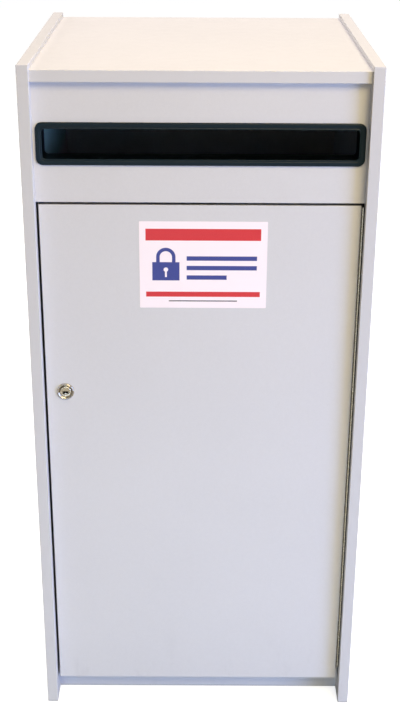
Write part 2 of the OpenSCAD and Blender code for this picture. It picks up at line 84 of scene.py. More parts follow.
class Mat:
    """A small builder for one node material."""

    def __init__(self, name):
        self.m = bpy.data.materials.new(name)
        self.m.use_nodes = True
        self.t = self.m.node_tree
        self.t.nodes.clear()
        self.out = self.t.nodes.new("ShaderNodeOutputMaterial")
        self.p = self.t.nodes.new("ShaderNodeBsdfPrincipled")
        self.link(self.p.outputs[0], self.out.inputs["Surface"])
        self.coord = self.t.nodes.new("ShaderNodeTexCoord").outputs["Object"]

    def link(self, a, b):
        self.t.links.new(a, b)

    def feed(self, socket, v):
        if isinstance(v, bpy.types.NodeSocket):
            self.link(v, socket)
        elif v is not None:
            socket.default_value = v

    def node(self, kind, **props):
        n = self.t.nodes.new(kind)
        for k, v in props.items():
            setattr(n, k, v)
        return n

    def scaled(self, sx, sy, sz, off=(0, 0, 0), coord=None):
        n = self.node("ShaderNodeMapping")
        n.inputs["Scale"].default_value = (sx, sy, sz)
        n.inputs["Location"].default_value = off
        self.link(coord or self.coord, n.inputs["Vector"])
        return n.outputs[0]

    def noise(self, scale, detail=2.0, rough=0.5, vec=None, distortion=0.0):
        n = self.node("ShaderNodeTexNoise")
        n.inputs["Scale"].default_value = scale
        n.inputs["Detail"].default_value = detail
        n.inputs["Roughness"].default_value = rough
        n.inputs["Distortion"].default_value = distortion
        self.link(vec or self.coord, n.inputs["Vector"])
        return n.outputs["Fac"]

    def voronoi(self, scale, vec=None, feature="F1"):
        n = self.node("ShaderNodeTexVoronoi", feature=feature)
        n.inputs["Scale"].default_value = scale
        self.link(vec or self.coord, n.inputs["Vector"])
        return n.outputs["Distance"]

    def wave(self, scale, vec=None, direction="X", distortion=0.0):
        n = self.node("ShaderNodeTexWave", bands_direction=direction)
        n.inputs["Scale"].default_value = scale
        n.inputs["Distortion"].default_value = distortion
        self.link(vec or self.coord, n.inputs["Vector"])
        return n.outputs["Fac"]

    def math(self, op, a, b=0.0, c=0.0, clamp=False):
        n = self.node("ShaderNodeMath", operation=op, use_clamp=clamp)
        self.feed(n.inputs[0], a)
        self.feed(n.inputs[1], b)
        self.feed(n.inputs[2], c)
        return n.outputs[0]

    def remap(self, v, a, b, c, d, smooth=False):
        n = self.node("ShaderNodeMapRange", clamp=True,
                      interpolation_type="SMOOTHSTEP" if smooth else "LINEAR")
        self.feed(n.inputs["Value"], v)
        for k, x in zip(("From Min", "From Max", "To Min", "To Max"), (a, b, c, d)):
            n.inputs[k].default_value = x
        return n.outputs["Result"]

    def mix(self, fac, a, b, blend="MIX"):
        n = self.node("ShaderNodeMix", data_type="RGBA", blend_type=blend)
        self.feed(n.inputs[0], fac)
        for sock, v in ((n.inputs[6], a), (n.inputs[7], b)):
            if isinstance(v, tuple) and len(v) == 3:
                v = (*v, 1.0)
            self.feed(sock, v)
        return n.outputs[2]

    def xyz(self, coord=None):
        n = self.node("ShaderNodeSeparateXYZ")
        self.link(coord or self.coord, n.inputs[0])
        return n.outputs[0], n.outputs[1], n.outputs[2]

    def bump(self, height, strength, distance, normal=None):
        n = self.node("ShaderNodeBump")
        n.inputs["Strength"].default_value = strength
        n.inputs["Distance"].default_value = distance
        self.feed(n.inputs["Height"], height)
        if normal is not None:
            self.link(normal, n.inputs["Normal"])
        self.link(n.outputs[0], self.p.inputs["Normal"])
        return n.outputs[0]

    def set(self, **kw):
        names = {"color": "Base Color", "rough": "Roughness", "metal": "Metallic",
                 "spec": "Specular IOR Level", "sheen": "Sheen Weight",
                 "sheen_rough": "Sheen Roughness", "coat": "Coat Weight",
                 "coat_rough": "Coat Roughness", "aniso": "Anisotropic"}
        for k, v in kw.items():
            if isinstance(v, tuple) and len(v) == 3:
                v = (*v, 1.0)
            self.feed(self.p.inputs[names[k]], v)
        return self.m


def srgb(r, g, b):
    """Linear colour from 0-255 screen values."""
    out = []
    for c in (r, g, b):
        c /= 255.0
        out.append(c / 12.92 if c <= 0.04045 else ((c + 0.055) / 1.055) ** 2.4)
    return tuple(out)


def mul(c, k):
    return tuple(x * k for x in c)


# ---------------------------------------------------------------- materials

LAM = (0.600, 0.590, 0.606)


def laminate_material(name, base, grain=1.0, wear_and_painted_light=True, rough=0.46, turned_face_shade=1.0, right=1.0):
    """Melamine-faced board: very fine pearl-like print, faint clouding, light scuff marks low down, and painted light
    and shade in the door gaps, along the feet, inside over the bag and on the right-hand bands.
    """
    m = Mat(name)
    fine = m.noise(1400.0, 2.0, 0.6)
    flock = m.noise(260.0, 3.0, 0.65)
    cloud = m.noise(5.0, 2.0, 0.5)
    v = m.math("ADD", m.remap(fine, 0.3, 0.7, -0.022 * grain, 0.022 * grain),
               m.remap(flock, 0.3, 0.7, -0.012 * grain, 0.012 * grain))
    v = m.math("ADD", v, m.remap(cloud, 0.3, 0.7, -0.010, 0.010))
    bright = m.math("ADD", v, 1.0)
    x, y, z = m.xyz()
    # painted light: on the right-hand bands the faces below the top are painted darker and the top faces are painted
    # lighter
    if right < 1.0:
        share = m.math("SUBTRACT", m.remap(z, 1.0135, 1.0148, right, 1.06), 1.0)
        bright = m.math("MULTIPLY", bright, m.math("ADD", 1.0, m.math("MULTIPLY", share, m.remap(x, 0.20, 0.22, 0.0, 1.0))))
    comb = m.node("ShaderNodeCombineColor")
    for i in range(3):
        m.link(m.math("MULTIPLY", bright, base[i]), comb.inputs[i])
    color = comb.outputs[0]
    if wear_and_painted_light:
        low = m.remap(z, 0.0, 0.16, 1.0, 0.0, smooth=True)
        marks = m.remap(m.noise(38.0, 5.0, 0.7, vec=m.scaled(1, 1, 0.35)), 0.56, 0.74, 0.0, 1.0)
        color = m.mix(m.math("MULTIPLY", m.math("MULTIPLY", low, marks), 0.20), color, mul(base, 0.62))
        rub = m.remap(m.noise(11.0, 6.0, 0.75, vec=m.scaled(1, 1, 2.2), distortion=0.6), 0.60, 0.78, 0.0, 0.05)
        color = m.mix(rub, color, mul(base, 0.80))
        # painted shade: the side walls beside the door's edges and beside the hinge, down in the gaps, are painted
        # nearly black
        ax = m.math("ABSOLUTE", x)
        wall = m.math("MULTIPLY", m.remap(ax, 0.2240, 0.2248, 0.0, 1.0), m.remap(ax, 0.2256, 0.2264, 1.0, 0.0))
        height = m.math("MULTIPLY", m.remap(z, 0.0355, 0.0385, 0.0, 1.0), m.remap(z, 0.8265, 0.8285, 1.0, 0.0))
        deep = m.math("MULTIPLY", m.remap(y, -0.2175, -0.2155, 0.0, 1.0, smooth=True), m.remap(y, -0.202, -0.196, 1.0, 0.0, smooth=True))
        by_hinge = m.math("MULTIPLY", m.remap(x, 0.2240, 0.2248, 0.0, 1.0),
                          m.math("MULTIPLY", m.remap(y, -0.2245, -0.2205, 0.0, 1.0, smooth=True), m.remap(z, 0.058, 0.062, 0.0, 1.0)))
        gap_shade = m.math("MULTIPLY", m.math("MULTIPLY", wall, height), m.math("MAXIMUM", deep, m.math("MULTIPLY", by_hinge, m.remap(y, -0.202, -0.196, 1.0, 0.0))))
        color = m.mix(m.math("MULTIPLY", gap_shade, 0.88), color, mul(base, 0.08))
        # the boards' lowest edge is painted darker: dirt that feet pick up, and a painted contact shadow where they
        # meet the glides and the floor
        foot_dirt_and_shade = m.math("MULTIPLY", m.remap(z, 0.0030, 0.0038, 0.42, 0.0), m.remap(marks, 0.0, 1.0, 0.8, 1.0))
        color = m.mix(foot_dirt_and_shade, color, mul(base, 0.30))
        # painted light and shade: the left wall over the bag is painted with the cool light that comes in through the
        # slot near the front, and painted darker towards the back
        slot_light_mask = m.math("MULTIPLY", m.math("MULTIPLY", m.remap(x, -0.2264, -0.2256, 0.0, 1.0), m.remap(x, -0.2248, -0.2240, 1.0, 0.0)),
                      m.math("MULTIPLY", m.remap(z, 0.800, 0.832, 0.0, 1.0, smooth=True), m.remap(y, -0.201, -0.196, 0.0, 1.0)))
        slot_light_mask = m.math("MULTIPLY", slot_light_mask, m.math("MULTIPLY", m.remap(z, 0.990, 0.994, 1.0, 0.0), m.remap(y, 0.206, 0.214, 1.0, 0.0)))
        painted_slot_light = m.mix(m.remap(y, -0.19, 0.02, 0.0, 1.0, smooth=True),
                     (base[0] * 0.86, base[1] * 1.22, base[2] * 1.08), (base[0] * 0.50, base[1] * 0.86, base[2] * 0.78))
        color = m.mix(slot_light_mask, color, painted_slot_light)
    if turned_face_shade < 1.0:
        # painted shade: the band faces that turn away from the front, down in the gaps, are painted darker
        nx, ny, nz = m.xyz(m.node("ShaderNodeTexCoord").outputs["Normal"])
        color = m.mix(m.remap(m.math("ABSOLUTE", nx), 0.35, 0.85, 0.0, 1.0, smooth=True), color, mul(base, 0.72))
        color = m.mix(m.remap(m.math("ABSOLUTE", nz), 0.35, 0.85, 0.0, 1.0, smooth=True), color, mul(base, turned_face_shade))
        # painted shade: a thin dark line painted on the front of the door's left-hand edge, beside the gap
        line = m.math("MULTIPLY", m.remap(x, -0.2217, -0.2209, 1.0, 0.0), m.remap(z, 0.8248, 0.8256, 1.0, 0.0))
        front = m.remap(m.math("ABSOLUTE", ny), 0.50, 0.90, 0.0, 0.80)
        color = m.mix(m.math("MULTIPLY", line, front), color, mul(base, 0.12))
    m.bump(m.math("ADD", m.math("MULTIPLY", fine, 0.5), flock), 0.10, 0.0003)
    return m.set(color=color, rough=m.remap(m.noise(60.0, 3.0), 0.3, 0.7, rough - 0.05, rough + 0.07), spec=0.42)


laminate = laminate_material("laminate", LAM)
# the edge bands' right-hand ends carry painted light: darker below the top, lighter on it (right=0.955)
edge_band = laminate_material("edge_band", mul(LAM, 0.968), grain=0.4, rough=0.36, right=0.955)
door_band = laminate_material("door_band", mul(LAM, 0.985), grain=0.4, wear_and_painted_light=False, rough=0.36, turned_face_shade=0.29)
back_board = laminate_material("back_board", mul((0.60, 0.59, 0.59), 0.93), grain=1.6, rough=0.60)


def black_plastic_material(name, base, dusty, spec):
    """Grained moulded plastic; the throat's copy is painted blacker, as painted shade down in the slot, and is duller
    than the flange's.
    """
    m = Mat(name)
    grain = m.noise(2400.0, 2.0, 0.6)
    cells = m.voronoi(1500.0)
    dust = m.remap(m.noise(320.0, 4.0, 0.7), 0.62, 0.80, 0.0, 0.10)
    color = m.mix(dust, base, dusty)
    m.bump(m.math("ADD", grain, m.math("MULTIPLY", cells, 0.6)), 0.22, 0.00015)
    rough = m.remap(m.noise(45.0, 3.0), 0.3, 0.7, 0.34, 0.46)
    return m.set(color=color, rough=rough, spec=spec)


black_plastic = black_plastic_material("black_plastic", (0.0040, 0.0130, 0.0200), (0.030, 0.042, 0.050), 0.24)
black_throat_shaded = black_plastic_material("black_plastic_throat_shaded", (0.0008, 0.0018, 0.0024), (0.002, 0.004, 0.005), 0.08)


def metal_material(name, base, rough, brushed=(1, 1, 1), stain=0.25, grain=900.0, stamped=0.0, painted_flank_shade=False, soil_and_shade=None):
    m = Mat(name)
    streak = m.noise(grain, 3.0, 0.6, vec=m.scaled(*brushed))
    blot = m.noise(130.0, 4.0, 0.65)
    color = m.mix(m.remap(blot, 0.42, 0.72, 0.0, stain), mul(base, 1.0), mul(base, 0.55))
    if painted_flank_shade:
        # painted shade: the knuckles' sides, down in the gap, are painted nearly black
        nx = m.xyz(m.node("ShaderNodeTexCoord").outputs["Normal"])[0]
        x, y, z = m.xyz()
        off = m.math("MAXIMUM", m.remap(nx, -0.62, -0.24, 1.0, 0.0, smooth=True), m.remap(nx, 0.26, 0.62, 0.0, 1.0, smooth=True))
        off = m.math("MULTIPLY", off, m.remap(y, -0.2171, -0.2167, 1.0, 0.0))
        color = m.mix(m.math("MULTIPLY", off, 0.90), color, mul(base, 0.06))
    if soil_and_shade:
        # painted shade: the plug's face round the keyway is painted nearly black, so the keyway's dark reaches wider
        x, y, z = m.xyz()
        dx = m.math("MAXIMUM", m.math("SUBTRACT", m.math("ABSOLUTE", m.math("SUBTRACT", x, soil_and_shade[0])), soil_and_shade[2]), 0.0)
        dz = m.math("MAXIMUM", m.math("SUBTRACT", m.math("ABSOLUTE", m.math("SUBTRACT", z, soil_and_shade[1])), soil_and_shade[3]), 0.0)
        d = m.math("SQRT", m.math("ADD", m.math("MULTIPLY", dx, dx), m.math("MULTIPLY", dz, dz)))
        color = m.mix(m.remap(d, 0.0, 0.0011, 0.82, 0.0, smooth=True), color, mul(base, 0.07))
    if stamped:
        cells = m.voronoi(620.0, feature="SMOOTH_F1")
        m.bump(m.math("ADD", streak, m.math("MULTIPLY", cells, 2.0)), stamped, 0.0003)
    else:
        m.bump(streak, 0.12, 0.0001)
    r = m.math("ADD", m.remap(streak, 0.3, 0.7, -0.05, 0.05), m.remap(blot, 0.3, 0.7, rough, rough + 0.10))
    return m.set(color=color, rough=r, metal=1.0)


hinge_steel = metal_material("hinge_steel", (0.84, 0.82, 0.72), 0.20, brushed=(1, 1, 0.08), painted_flank_shade=True)
zinc = metal_material("zinc", (0.62, 0.60, 0.55), 0.30, stain=0.35)
steel_wire = metal_material("steel_wire", (0.55, 0.55, 0.54), 0.22, brushed=(0.1, 1, 1))
nickel = metal_material("nickel", (0.64, 0.585, 0.495), 0.16, stain=0.30, grain=1500.0, stamped=0.45)
LOCK_X, LOCK_Z = ((a + b) / 2 for a, b in zip(*((v.x, v.z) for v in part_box("lock_housing"))))
# the plug's face is painted darker round its keyway as painted shade
nickel_plug = metal_material("nickel_plug", (0.72, 0.66, 0.56), 0.20, stain=0.60, grain=1500.0, stamped=0.40,
                             soil_and_shade=(LOCK_X, LOCK_Z - 0.00125, 0.0040, 0.0019))
# painted highlight: a near-white copy of the nickel for the nub under the keyway
nickel_nub_highlight = metal_material("nickel_nub_highlight", (0.96, 0.94, 0.90), 0.40, stain=0.05)
# painted shade with stain: a darker, more stained copy of the nickel for the sunken groove round the plug
nickel_sunk_shaded = metal_material("nickel_sunk_shaded", (0.60, 0.54, 0.44), 0.24, stain=0.50, grain=1500.0, stamped=0.45)


def beech_material():
    m = Mat("beech")
    ring = m.wave(55.0, vec=m.scaled(0.25, 1, 1), direction="Y", distortion=3.0)
    pores = m.noise(900.0, 2.0, 0.7, vec=m.scaled(0.12, 1, 1))
    color = m.mix(ring, (0.55, 0.36, 0.18), (0.66, 0.47, 0.27))
    color = m.mix(m.remap(pores, 0.55, 0.8, 0.0, 0.4), color, (0.32, 0.19, 0.09))
    m.bump(pores, 0.2, 0.0002)
    return m.set(color=color, rough=0.6)


def rubber_material(name, base, rough=0.5):
    m = Mat(name)
    n = m.noise(700.0, 3.0, 0.6)
    color = m.mix(m.remap(n, 0.35, 0.65, 0.0, 0.3), base, mul(base, 0.8))
    m.bump(n, 0.15, 0.0002)
    return m.set(color=color, rough=rough)


beech = beech_material()
# painted shade: the keyway's inside walls take this near-black metal
keyway_shade_black = metal_material("keyway_shade_black", (0.007, 0.007, 0.006), 0.6, stain=0.2)
bumper = rubber_material("bumper_rubber", (0.42, 0.43, 0.43), 0.35)
glide = rubber_material("glide_plastic", (0.020, 0.024, 0.030), 0.4)


def label_material():
    """White vinyl with a plain printed design: a navy padlock sign, a red band and plain rules."""
    m = Mat("label_vinyl")
    x, y, z = m.xyz()
    lx = m.math("SUBTRACT", x, 0.0044)
    lz = m.math("SUBTRACT", z, 0.7377)

    def box(cx, cz, hw, hh, soft=0.00022):
        ax = m.math("SUBTRACT", hw, m.math("ABSOLUTE", m.math("SUBTRACT", lx, cx)))
        az = m.math("SUBTRACT", hh, m.math("ABSOLUTE", m.math("SUBTRACT", lz, cz)))
        return m.remap(m.math("MINIMUM", ax, az), -soft, soft, 0.0, 1.0)

    def disc(cx, cz, r, soft=0.00022):
        dx = m.math("SUBTRACT", lx, cx)
        dz = m.math("SUBTRACT", lz, cz)
        d = m.math("SQRT", m.math("ADD", m.math("MULTIPLY", dx, dx), m.math("MULTIPLY", dz, dz)))
        return m.remap(m.math("SUBTRACT", r, d), -soft, soft, 0.0, 1.0)

    def ring(cx, cz, r0, r1):
        return m.math("MULTIPLY", disc(cx, cz, r1), m.math("SUBTRACT", 1.0, disc(cx, cz, r0)))

    def either(*masks):
        v = masks[0]
        for k in masks[1:]:
            v = m.math("MAXIMUM", v, k)
        return v

    def without(a, b):
        return m.math("MULTIPLY", a, m.math("SUBTRACT", 1.0, b))

    px = -0.052
    shackle = m.math("MULTIPLY", ring(px, 0.012, 0.0085, 0.0135), box(px, 0.024, 0.02, 0.012))
    legs = either(box(px - 0.011, 0.007, 0.0025, 0.006), box(px + 0.011, 0.007, 0.0025, 0.006))
    body = without(box(px, -0.009, 0.0190, 0.0135),
                   either(disc(px, -0.0065, 0.0032), box(px, -0.0125, 0.0013, 0.0050)))
    navy = either(shackle, legs, body,
                  box(0.026, 0.010, 0.049, 0.0032), box(0.026, -0.004, 0.049, 0.0032),
                  box(0.005, -0.018, 0.028, 0.0032))
    red = either(box(0.0, 0.0445, 0.0800, 0.0085), box(0.0, -0.0430, 0.0800, 0.0038))
    thin = either(box(0.0, -0.0530, 0.0480, 0.0008))
    ink = m.noise(900.0, 2.0)
    paper = m.mix(m.remap(m.noise(30.0, 3.0), 0.3, 0.7, 0.0, 0.04), (0.92, 0.82, 0.86), (0.78, 0.72, 0.74))
    c = m.mix(navy, paper, m.mix(m.remap(ink, 0.3, 0.7, 0.0, 0.3), (0.045, 0.060, 0.26), (0.07, 0.085, 0.30)))
    c = m.mix(red, c, m.mix(m.remap(ink, 0.3, 0.7, 0.0, 0.3), (0.62, 0.035, 0.045), (0.66, 0.06, 0.06)))
    c = m.mix(thin, c, (0.06, 0.06, 0.07))
    m.bump(m.noise(500.0, 2.0), 0.03, 0.0002)
    return m.set(color=c, rough=0.34, spec=0.45)


label = label_material()


def cloth_material(name, base, weave=900.0, dark=0.72):
    """Plain woven nylon: crossed threads in the bump, faint slubs and soil."""
    m = Mat(name)
    tc = m.node("ShaderNodeUVMap", uv_map="ClothUV").outputs[0]
    u = m.wave(weave, vec=tc, direction="X")
    v = m.wave(weave, vec=tc, direction="Y")
    threads = m.math("MULTIPLY", u, v)
    slub = m.noise(24.0, 4.0, 0.6, vec=tc)
    soil_and_shade = m.noise(5.0, 4.0, 0.6)
    c = m.mix(m.remap(threads, 0.0, 1.0, 0.0, 0.22), base, mul(base, dark))
    c = m.mix(m.remap(soil_and_shade, 0.45, 0.75, 0.0, 0.14), c, mul(base, 0.60))
    c = m.mix(m.remap(slub, 0.60, 0.80, 0.0, 0.12), c, mul(base, 0.8))
    m.bump(threads, 0.35, 0.0004)
    return m.set(color=c, rough=0.78, sheen=0.25, sheen_rough=0.4, spec=0.3)


bag_cloth = cloth_material("bag_cloth", (0.030, 0.038, 0.058), weave=300.0)
webbing = cloth_material("webbing", (0.009, 0.014, 0.019), weave=160.0, dark=0.45)

SLOT_MATERIAL = {
    "laminate": laminate, "edge_band": edge_band, "back_board": back_board,
    "black_plastic": black_plastic, "hinge_steel": hinge_steel, "zinc": zinc,
    "nickel": nickel, "beech": beech, "label_vinyl": label, "bag_cloth": bag_cloth,
    "webbing": webbing, "bumper_rubber": bumper, "glide_plastic": glide,
}
for row in frame["record"]["subparts"]:
    o = NODES[row["node"]]
    o.data.materials.clear()
    o.data.materials.append(SLOT_MATERIAL[row["material_slot"]])
# the door's and the header's bands take the copy with the painted gap shade
for name in ("door_edge_bands", "header_edge_band"):
    NODES[name].data.materials[0] = door_band


# ---------------------------------------------------------------- mesh kit


def mesh_object(name, verts, faces, material, smooth=True, uvs=None):
    me = bpy.data.meshes.new(name)
    me.from_pydata([tuple(v) for v in verts], [], faces)
    me.update()
    o = bpy.data.objects.new(name, me)
    scene.collection.objects.link(o)
    o.data.materials.append(material)
    for p in me.polygons:
        p.use_smooth = smooth
    if uvs is not None:
        layer = me.uv_layers.new(name="UVMap")
        for loop in me.loops:
            layer.data[loop.index].uv = uvs[loop.vertex_index]
    return o


def smooth_by_angle(o, degrees=35.0):
    for p in o.data.polygons:
        p.use_smooth = True
    o.data.set_sharp_from_angle(angle=math.radians(degrees))


def rounded_loop(hw, hh, r, per_corner, straight_w, straight_h):
    """Points of a rounded rectangle, anticlockwise from the middle of its right side, with a
    fixed count on every stretch so that two such loops match point by point."""
    pts = []
    corners = [(hw - r, hh - r, 0), (-hw + r, hh - r, 90), (-hw + r, -hh + r, 180), (hw - r, -hh + r, 270)]
    for k, (cx, cz, a0) in enumerate(corners):
        for i in range(per_corner + 1):
            a = math.radians(a0 + 90.0 * i / per_corner)
            pts.append((cx + r * math.cos(a), cz + r * math.sin(a)))
        n = straight_w if k in (0, 2) else straight_h
        nx, nz, na = corners[(k + 1) % 4]
        a = math.radians(na)
        end = (nx + r * math.cos(a), nz + r * math.sin(a))
        start = pts[-1]
        for i in range(1, n):
            t = i / n
            pts.append((start[0] + (end[0] - start[0]) * t, start[1] + (end[1] - start[1]) * t))
    return pts


# ---------------------------------------------------------------- slot bezel

def build_bezel():
    lo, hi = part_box("slot_bezel")
    cx, cz = (lo.x + hi.x) / 2, (lo.z + hi.z) / 2
    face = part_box("header_panel")[0].y
    hw, hh = (hi.x - lo.x) / 2, (hi.z - lo.z) / 2
    rim = 0.0089
    outer = rounded_loop(hw, hh, 0.0095, 10, 24, 4)
    inner = rounded_loop(hw - rim, hh - rim, 0.0050, 10, 24, 4)
    proud = face - lo.y
    back = hi.y - face
    # (share of the way from the outer to the inner outline, depth behind the header's face)
    prof = [(0.0, 0.0), (0.0, -0.42 * proud), (0.025, -0.66 * proud), (0.08, -0.86 * proud), (0.16, -0.96 * proud),
            (0.27, -proud), (0.60, -proud), (0.645, -0.97 * proud), (0.68, -0.86 * proud), (0.72, -0.83 * proud),
            (0.76, -0.88 * proud), (0.80, -0.985 * proud), (0.85, -proud), (0.915, -proud), (0.955, -0.96 * proud),
            (0.985, -0.86 * proud), (1.0, -0.66 * proud),
            (1.002, 0.10 * back), (1.012, 0.55 * back), (1.02, 0.96 * back), (1.01, back), (0.80, back),
            (0.775, 0.96 * back), (0.765, 0.5 * back), (0.765, 0.02 * back), (0.765, 0.0)]
    verts, faces = [], []
    n, k = len(outer), len(prof)
    for (ox, oz), (ix, iz) in zip(outer, inner):
        for s, y in prof:
            verts.append((cx + ox + (ix - ox) * s, face + y, cz + oz + (iz - oz) * s))
    for i in range(n):
        j = (i + 1) % n
        for a in range(k):
            b = (a + 1) % k
            faces.append((i * k + a, i * k + b, j * k + b, j * k + a))
    o = mesh_object("slot_bezel_moulding", verts, faces, black_plastic)
    bm = bmesh.new()
    bm.from_mesh(o.data)
    header_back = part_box("header_panel")[1].y
    for x in (-0.15, -0.05, 0.05, 0.15):
        for s in (-1, 1):
            z0 = cz + s * (hh - rim + 0.0015)
            z1 = cz + s * (hh - rim + 0.004)
            w = 0.010
            ys = (header_back + 0.0003, header_back + 0.0015, header_back + 0.0085)
            base = [bm.verts.new((x + sx * w, yy, zz)) for sx in (-1, 1)
                    for yy, zz in ((ys[0], z0), (ys[0], z1), (ys[1], z1), (ys[2], z0))]
            a, b = base[:4], base[4:]
            bm.faces.new(a)
            bm.faces.new(list(reversed(b)))
            for i in range(4):
                bm.faces.new((a[i], a[(i + 1) % 4], b[(i + 1) % 4], b[i]))
    bmesh.ops.recalc_face_normals(bm, faces=bm.faces)
    bm.to_mesh(o.data)
    bm.free()
    smooth_by_angle(o, 40)
    # painted shade: the throat's inner faces take the copy painted near black
    o.data.materials.append(black_throat_shaded)
    for p in o.data.polygons:
        q = p.center
        if q.y > face - 0.4 * proud and abs(q.x - cx) < hw - 0.95 * rim and abs(q.z - cz) < hh - 0.95 * rim:
            p.material_index = 1
    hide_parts("slot_bezel")
    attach(o, "cabinet")
    return o


build_bezel()

# ---------------------------------------------------------------- cam lock

def lathe(bm, profile, centre, segments=96):
    """Turns a closed outline of (radius, depth) about the lock's axis, which runs along Y."""
    rings = []
    for i in range(segments):
        a = 2 * math.pi * i / segments
        rings.append([bm.verts.new((centre.x + r * math.cos(a), centre.y + y, centre.z + r * math.sin(a)))
                      if r > 1e-6 else None for r, y in profile])
    poles = {k: bm.verts.new((centre.x, centre.y + profile[k][1], centre.z))
             for k in range(len(profile)) if profile[k][0] <= 1e-6}
    n = len(profile)
    for i in range(segments):
        j = (i + 1) % segments
        for a in range(n):
            b = (a + 1) % n
            ids = []
            for ring, k in ((i, a), (i, b), (j, b), (j, a)):
                v = rings[ring][k] or poles[k]
                if v not in ids:
                    ids.append(v)
            if len(ids) > 2:
                bm.faces.new(ids)


def from_bmesh(name, bm, material, degrees=35):
    bmesh.ops.recalc_face_normals(bm, faces=bm.faces)
    me = bpy.data.meshes.new(name)
    bm.to_mesh(me)
    bm.free()
    o = bpy.data.objects.new(name, me)
    scene.collection.objects.link(o)
    o.data.materials.append(material)
    smooth_by_angle(o, degrees)
    return o


def build_lock():
    lo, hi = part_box("lock_housing")
    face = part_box("door_panel")[0].y
    c = Vector(((lo.x + hi.x) / 2, face, (lo.z + hi.z) / 2))
    proud, deep = face - lo.y, hi.y - face
    mm = 0.001
    prof = [(12.5, 0.0), (12.5, -1.15), (12.43, -1.55), (12.24, -1.95), (11.98, -2.40), (11.72, -2.76), (11.46, -2.95),
            (11.16, -3.0), (10.84, -2.98), (10.66, -2.90), (10.46, -2.74), (10.2, -2.45), (9.6, -1.86), (9.0, -1.28), (8.6, -0.92),
            (8.35, -0.8), (7.5, -0.8), (7.2, -0.75), (7.05, -0.55), (7.05, deep / mm), (9.1, deep / mm)]
    y = deep / mm - 0.5
    while y > 16.5:
        prof += [(9.5, y), (9.5, y - 0.35), (9.12, y - 0.65), (9.12, y - 0.85)]
        y -= 1.15
    prof += [(9.5, 16.0), (9.5, 0.0)]
    bm = bmesh.new()
    lathe(bm, [(r * mm, d * mm) for r, d in prof], c)
    head = from_bmesh("lock_head_turned", bm, nickel, 30)
    # painted shade: the groove's faces take the darker nickel copy
    head.data.materials.append(nickel_sunk_shaded)
    for p in head.data.polygons:
        q = p.center - c
        if 0.0070 < math.hypot(q.x, q.z) < 0.01038 and -0.0025 < q.y < -0.0004:
            p.material_index = 1
    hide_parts("lock_housing")
    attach(head, "door")

    plo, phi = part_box("lock_plug")
    back = (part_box("lock_housing")[1].y - face) / mm
    prof = [(0.0, -2.50), (5.0, -2.54), (5.9, -2.64), (6.5, -2.78), (7.1, -2.80), (7.6, -2.70), (7.95, -2.46),
            (8.13, -2.15), (8.2, -1.8), (8.2, -1.2), (8.1, -1.1), (7.0, -1.1), (7.0, back - 0.3), (6.8, back), (0.0, back)]
    bm = bmesh.new()
    lathe(bm, [(r * mm, d * mm) for r, d in prof], c)
    plug = from_bmesh("lock_plug_turned", bm, nickel_plug, 30)
    bm = bmesh.new()
    key = [(-4.2, -3.4), (-4.2, -2.0), (-3.1, -0.5), (-1.6, 0.5), (1.6, 0.5), (3.1, -0.5), (4.2, -2.0), (4.2, -3.4),
           (2.6, -3.4), (2.0, -2.6), (1.2, -2.1), (-1.2, -2.1), (-2.0, -2.6), (-2.6, -3.4)]
    front = [bm.verts.new((c.x + x * mm, c.y - 0.006, c.z + z * mm)) for x, z in key]
    rear = [bm.verts.new((c.x + x * mm, c.y + 0.014, c.z + z * mm)) for x, z in key]
    bm.faces.new(front)
    bm.faces.new(list(reversed(rear)))
    for i in range(len(key)):
        j = (i + 1) % len(key)
        bm.faces.new((front[i], rear[i], rear[j], front[j]))
    cutter = from_bmesh("keyway_cut", bm, nickel)
    mod = plug.modifiers.new("key", "BOOLEAN")
    mod.operation, mod.solver, mod.object = "DIFFERENCE", "EXACT", cutter
    dg = bpy.context.evaluated_depsgraph_get()
    plug.data = bpy.data.meshes.new_from_object(plug.evaluated_get(dg), depsgraph=dg)
    plug.modifiers.clear()
    bpy.data.objects.remove(cutter)
    plug.data.materials.append(keyway_shade_black)
    plug.data.materials.append(nickel_nub_highlight)
    # painted shade: the keyway's walls are given the near-black metal
    for p in plug.data.polygons:
        q = p.center - c
        if math.hypot(q.x, q.z) < 0.0056 and (abs(p.normal.y) < 0.5 or q.y > -0.001) and q.y < 0.0145:
            p.material_index = 1
    bm = bmesh.new()
    bm.from_mesh(plug.data)
    nub = bmesh.ops.create_uvsphere(bm, u_segments=24, v_segments=12, radius=1.0)
    for v in nub["verts"]:
        v.co = Vector((c.x + v.co.x * 1.9 * mm, c.y - 2.50 * mm + v.co.y * 0.5 * mm, c.z - 3.3 * mm + v.co.z * 1.05 * mm))
    # the nub takes the painted-highlight nickel
    for f in {f for v in nub["verts"] for f in v.link_faces}:
        f.material_index = 2
    tail = 0.0039
    y0, y1 = c.y + back * mm - 0.0002, phi.y
    res = bmesh.ops.create_cube(bm, size=1.0)
    for v in res["verts"]:
        v.co = Vector((c.x + v.co.x * 2 * tail, (y0 + y1) / 2 + v.co.y * (y1 - y0), c.z + v.co.z * 2 * tail))
    edges = [e for e in bm.edges if all(v in res["verts"] for v in e.verts)]
    bmesh.ops.bevel(bm, geom=edges, offset=0.0003, segments=2, affect="EDGES")
    bmesh.ops.recalc_face_normals(bm, faces=bm.faces)
    bm.to_mesh(plug.data)
    bm.free()
    smooth_by_angle(plug, 30)
    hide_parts("lock_plug")
    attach(plug, "lock")


build_lock()

# ---------------------------------------------------------------- collection bag

